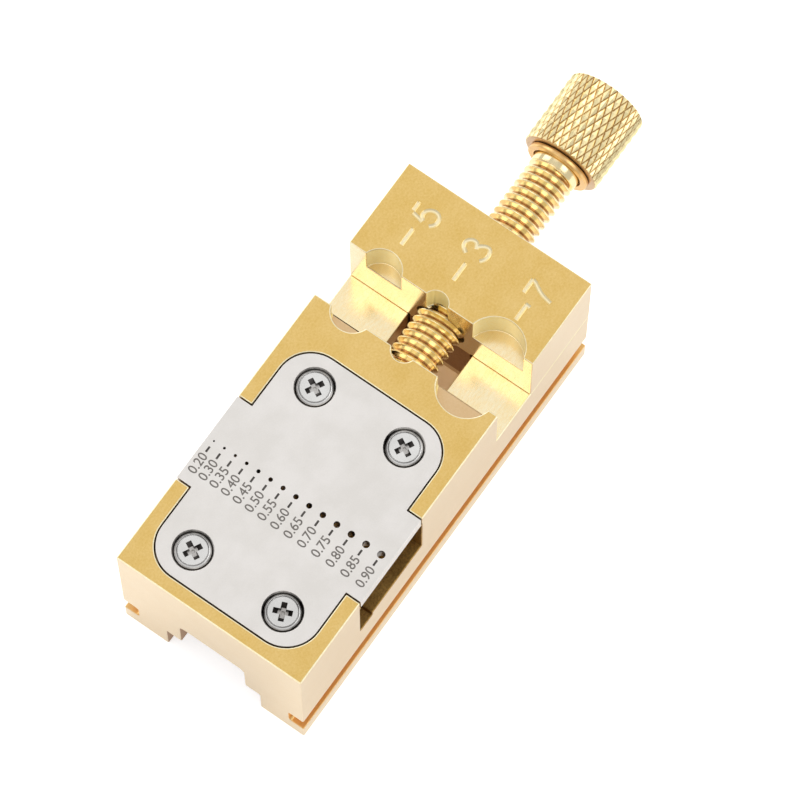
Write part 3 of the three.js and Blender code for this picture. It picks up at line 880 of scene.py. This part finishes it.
def makeClampScrew():
    t = thread
    tip, tail = lengthOf(screwLow), lengthOf(screwHigh)
    neckStart = t["threadEnd"] - t["neckOverlap"]
    neckEnd = lengthOf(knobLow) - t["neckGap"]
    # a turn or more to spare at both ends, because a helix starts and ends open
    turns = math.ceil(t["threadEnd"] - tip) + 4
    start = t["crestAt"] - t["pitch"] * (math.ceil(t["crestAt"] - tip) + 1.5)

    bpy.ops.object.select_all(action="DESELECT")
    bpy.ops.mesh.primitive_plane_add(size=t["pitch"] * mm, location=spot(start, 0, axisHeight))
    rod = bpy.context.object
    openAndPick(rod, "VERT", lambda corner: corner.co.y > 0)
    bpy.ops.mesh.delete(type="VERT")
    bpy.ops.mesh.select_all(action="SELECT")
    bpy.ops.mesh.subdivide(number_cuts=len(t["profile"]) - 2)
    mesh = bmesh.from_edit_mesh(rod.data)
    ordered = sorted(mesh.verts, key=lambda corner: corner.co.x)
    for corner, (share, height) in zip(ordered, t["profile"]):
        radius = t["root"] + height * (t["radius"] - t["root"])
        corner.co = (share * t["pitch"] * mm, 0, radius * mm)
    bmesh.update_edit_mesh(rod.data)
    closeEdit()
    applyModifier(rod, "SCREW", axis="X", angle=2 * math.pi, screw_offset=t["pitch"] * mm,
                  iterations=turns, steps=t["steps"], render_steps=t["steps"],
                  use_smooth_shade=True)
    settle("brass_clamp_screw")
    weld(rod, t["weldGap"])

    # cut off square at the tip and behind the thread, then the tip's crests are turned down
    for x, front in ((tip, True), (t["threadEnd"], False)):
        openAndPick(rod, "FACE", lambda face: True)
        bpy.ops.mesh.bisect(plane_co=spot(x, 0, axisHeight), plane_no=(1, 0, 0), use_fill=True,
                            clear_inner=front, clear_outer=not front,
                            threshold=t["cutSlack"] * mm)
        closeEdit()
    mesh = openAndPick(rod, "FACE", lambda face: True)
    for corner in mesh.verts:
        limit = t["radius"] - t["chamfer"] + lengthOf(corner.co) - tip
        if radiusOf(corner) > limit:
            setRadius(corner, limit)
    bpy.ops.mesh.normals_make_consistent(inside=False)
    closeEdit()

    neck = addRod("neck", (neckStart, 0, axisHeight), (neckEnd, 0, axisHeight),
                  t["neckRadius"], 96)
    thin = t["spigot"] / t["neckRadius"]
    openAndPick(neck, "FACE", lambda face: face.normal.x > 0.9)
    bpy.ops.mesh.extrude_region_move()
    bpy.ops.transform.resize(value=(1, thin, thin), center_override=spot(neckEnd, 0, axisHeight))
    bpy.ops.mesh.extrude_region_move(
        TRANSFORM_OT_translate={"value": ((tail - neckEnd) * mm, 0, 0)})
    closeEdit()
    bevelEdges(neck, t["neckChamfer"], 2, lambda edge: edge.calc_face_angle() > 1
               and near(middleOf(edge).x, spot(neckStart, 0, 0).x))
    pickOnly(rod, neck)
    bpy.ops.object.join()
    # painted shade: the thread is darker towards its roots
    paint(rod, brass["turned"])
    shade(rod, 32)
    return deliver(rod, "screw", "turned_brass", "clamp_screw")


washerSizes = {
    "radius": 4.0,
    "hole": 3.2,
    "edge": 0.09,
}


def makeWasher():
    w = washerSizes
    low, high = lengthOf(washerLow), lengthOf(washerHigh)
    ring = addRod("bronze_washer", (low, 0, axisHeight), (high, 0, axisHeight), w["radius"], 96)
    hole = addRod("hole", (low - beyond, 0, axisHeight), (high + beyond, 0, axisHeight),
                  w["hole"], 96)
    combine(ring, [hole])
    breakEdges(ring, w["edge"])
    paint(ring, brass["bronze"])
    shade(ring)
    return deliver(ring, "washer", "bronze", "thrust_washer")


clampScrew = makeClampScrew()
makeWasher()
print("clamp screw", len(clampScrew.data.polygons), "faces, and washer")


# Knob with a diamond knurl: rhombuses between two crossed sets of grooves, each raised to a point

knob = {
    "radius": 5.0,
    "columns": 36,
    "row": 2.36,
    "depth": 0.27,
    "chamfer": 0.45,
    "bore": 2.15,
    "boreEnd": 75.3,
    "peakSink": 0.01,                     # how far the points stay under the full radius
    "weldGap": 0.004,
}


def isFlank(face):
    return abs(face.normal.x) < 0.5


def isSquareEdge(edge):
    # an edge of the squares that the knob's wall starts from, and not one to a square's middle
    return (len(edge.link_faces) == 2 and all(isFlank(face) for face in edge.link_faces)
            and (runsAlong(edge, along) or abs(edge.verts[0].co.x - edge.verts[1].co.x) < 1e-6))


def isPeak(corner):
    return (len(corner.link_faces) == 4
            and all(len(face.verts) == 3 and isFlank(face) for face in corner.link_faces))


def makeKnob():
    k = knob
    low, high = lengthOf(knobLow), lengthOf(knobHigh)
    rows = math.ceil((high - low) / k["row"]) + 2
    start = (low + high - rows * k["row"]) / 2
    base = k["radius"] - k["depth"]
    rod = addRod("knurled_brass_knob", (start, 0, axisHeight),
                 (start + rows * k["row"], 0, axisHeight), base, k["columns"])
    openAndPick(rod, "EDGE", lambda edge: runsAlong(edge, along))
    bpy.ops.mesh.subdivide(number_cuts=rows - 1)
    closeEdit()

    # the squares are split from their middles, and their own edges go: rhombuses are left
    openAndPick(rod, "FACE", isFlank)
    bpy.ops.mesh.poke()
    closeEdit()
    openAndPick(rod, "EDGE", isSquareEdge)
    bpy.ops.mesh.dissolve_edges(use_verts=False)
    mesh = bmesh.from_edit_mesh(rod.data)
    for corner in mesh.verts:
        setRadius(corner, base)
    closeEdit()
    openAndPick(rod, "FACE", lambda face: isFlank(face) and len(face.verts) == 4)
    bpy.ops.mesh.poke()
    closeEdit()
    mesh = openAndPick(rod, "VERT", isPeak)
    for corner in mesh.verts:
        if corner.select:
            setRadius(corner, k["radius"] - k["peakSink"])
    bmesh.update_edit_mesh(rod.data)
    closeEdit()

    outside = addRod("outside", (low, 0, axisHeight), (high, 0, axisHeight), k["radius"], 144)
    bevelEdges(outside, k["chamfer"], 3, lambda edge: not runsAlong(edge, along)
               and edge.calc_face_angle() > 1)
    combine(rod, [outside], "INTERSECT")
    weld(rod, k["weldGap"])
    bore = addRod("bore", (low - beyond, 0, axisHeight), (k["boreEnd"], 0, axisHeight),
                  k["bore"])
    combine(rod, [bore])
    # painted shade: the knurl is darker in its grooves
    paint(rod, brass["knurl"])
    paint(rod, brass["face"], lambda at, to: abs(to.x) > 0.9)
    pickOnly(rod)
    bpy.ops.object.shade_smooth_by_angle(angle=math.radians(12))
    return deliver(rod, "screw", "turned_brass", "knurled_knob")


knurledKnob = makeKnob()
print("knob", len(knurledKnob.data.polygons), "faces")


# The keeper under the slide and its screws keep their solids and get finishes
for node, finish in (("keeper_plate", brass["side"]), ("keeper_screw_1", steel["screw"]),
                     ("keeper_screw_2", steel["screw"])):
    paint(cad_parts[node], finish)


# Floor, light and camera

studio = {
    "floorSize": 3.0,
    "floorSink": 0.00002,
    "floorColour": (0.80, 0.80, 0.80, 1.0),
    "floorGlow": 0.62,
    "floorMirror": 0.38,
    # painted shade in reflections, beside the body on the camera's side
    "sideMirror": 0.64,                   # share of it beside the body, on the camera's side
    "shadeGlow": 0.78,
    "shadeColour": shadeOf(226, 178, 122),
    "sideFade": (5, 1),                   # where the shade under the body ends, in from its
    "endFade": (7, 3.5),                  # sides and its ends, in millimetres
    "flankFade": 2,
    "skyDiffuse": 0.85,
    "skyMirror": 0.62,
}
camera = {
    "azimuth": -54.75,
    "elevation": 72.0,
    "distance": 0.6033,
    "lens": 244.17,
    "target": (-0.00588, -0.00251, 0.0226),
}
lamps = [                                 # name, direction to the lamp, length and width, radiance
    ("overhead", (0.47, 0.19, 0.862), (0.66, 0.34), 0.37),
    ("crown", (-0.31, 0.20, 0.930), (0.42, 0.58), 0.46),
    ("spark", (-0.25, 0.18, 0.951), (0.16, 0.16), 0.85),
    ("side", (0.42, -0.55, 0.722), (0.72, 0.42), 1.5),
    ("back", (0.42, 0.72, 0.552), (0.66, 0.46), 1.3),
]
lampDistance = 0.8


def makeFloor():
    # the floor glows where it is open; under the body it has a painted shade, dim and warm, and on
    # the camera's side of the body it is dimmer in reflections, a painted shade too
    bpy.ops.object.select_all(action="DESELECT")
    bpy.ops.mesh.primitive_plane_add(size=studio["floorSize"], location=(0, 0, -studio["floorSink"]))
    floor = settle("studio_floor")
    finish = Finish("studio_floor_finish", {"Roughness": 0.9, "Specular IOR Level": 0.0,
                                            "Base Color": studio["floorColour"],
                                            "Emission Strength": 1.0})
    path = finish.node("ShaderNodeLightPath", {}, {}, "Is Camera Ray")
    glossy = Wire(finish, path.socket.node.outputs["Is Glossy Ray"])
    clear = Wire(finish, path.socket.node.outputs["Is Transmission Ray"])
    place = finish.node("ShaderNodeSeparateXYZ", {}, {"Vector": finish.place})
    x = Wire(finish, place.socket.node.outputs["X"]) - (bodyLow.x + bodyHigh.x) / 2
    y = Wire(finish, place.socket.node.outputs["Y"])
    reach, side = (bodyHigh.x - bodyLow.x) / 2, bodyHigh.y
    sideFade = [side - inset * mm for inset in studio["sideFade"]]
    endFade = [reach - inset * mm for inset in studio["endFade"]]
    opened = finish.maths("MAXIMUM", finish.spread(finish.maths("ABSOLUTE", y), *sideFade),
                          finish.spread(finish.maths("ABSOLUTE", x), *endFade))
    flank = finish.spread(-1 * y, side, side + studio["flankFade"] * mm)
    mirrored = studio["floorMirror"] * (1 - (1 - studio["sideMirror"]) * flank)
    bright = (path + clear) * studio["floorGlow"] + glossy * mirrored
    glow = bright * (studio["shadeGlow"] + (1 - studio["shadeGlow"]) * opened)
    tint = finish.blend(opened, studio["shadeColour"], (1, 1, 1, 1))
    finish.surface(Emission_Color=finish.node("ShaderNodeVectorMath", {"operation": "SCALE"},
                                              {0: tint, "Scale": glow}))
    paint(floor, finish.material)


def makeSky():
    world = bpy.data.worlds.new("studio_sky")
    bpy.context.scene.world = world
    world.use_nodes = True
    tree = world.node_tree
    path = tree.nodes.new("ShaderNodeLightPath")
    sky = tree.nodes["Background"]
    sky.inputs["Color"].default_value = (1, 1, 1, 1)
    mix = tree.nodes.new("ShaderNodeMix")
    mix.data_type = "FLOAT"
    tree.links.new(path.outputs["Is Diffuse Ray"], mix.inputs[0])
    mix.inputs[2].default_value = studio["skyMirror"]
    mix.inputs[3].default_value = studio["skyDiffuse"]
    tree.links.new(mix.outputs[0], sky.inputs["Strength"])


def makeLamp(name, towards, size, radiance):
    data = bpy.data.lights.new(name + "_lamp", "AREA")
    data.shape = "RECTANGLE"
    data.size, data.size_y = size
    data.energy = radiance * math.pi * size[0] * size[1]
    lamp = bpy.data.objects.new(name + "_lamp", data)
    bpy.context.scene.collection.objects.link(lamp)
    out = Vector(towards).normalized()
    length = (Vector((1, 0, 0)) - out * out.x).normalized()
    lamp.location = out * lampDistance
    lamp.rotation_euler = Matrix((length, out.cross(length), out)).transposed().to_euler()


def makeCamera():
    data = bpy.data.cameras.new("photo_camera")
    data.sensor_width = 36
    data.lens = camera["lens"]
    eye = bpy.data.objects.new("photo_camera", data)
    bpy.context.scene.collection.objects.link(eye)
    azimuth, elevation = math.radians(camera["azimuth"]), math.radians(camera["elevation"])
    back = Vector((math.sin(azimuth) * math.cos(elevation),
                   -math.cos(azimuth) * math.cos(elevation), math.sin(elevation)))
    eye.location = Vector(camera["target"]) + back * camera["distance"]
    eye.rotation_euler = (-back).to_track_quat("-Z", "Y").to_euler()
    bpy.context.scene.camera = eye


makeFloor()
makeSky()
for lamp in lamps:
    makeLamp(*lamp)
makeCamera()
bpy.context.scene.view_settings.view_transform = "Standard"
print("studio ready")
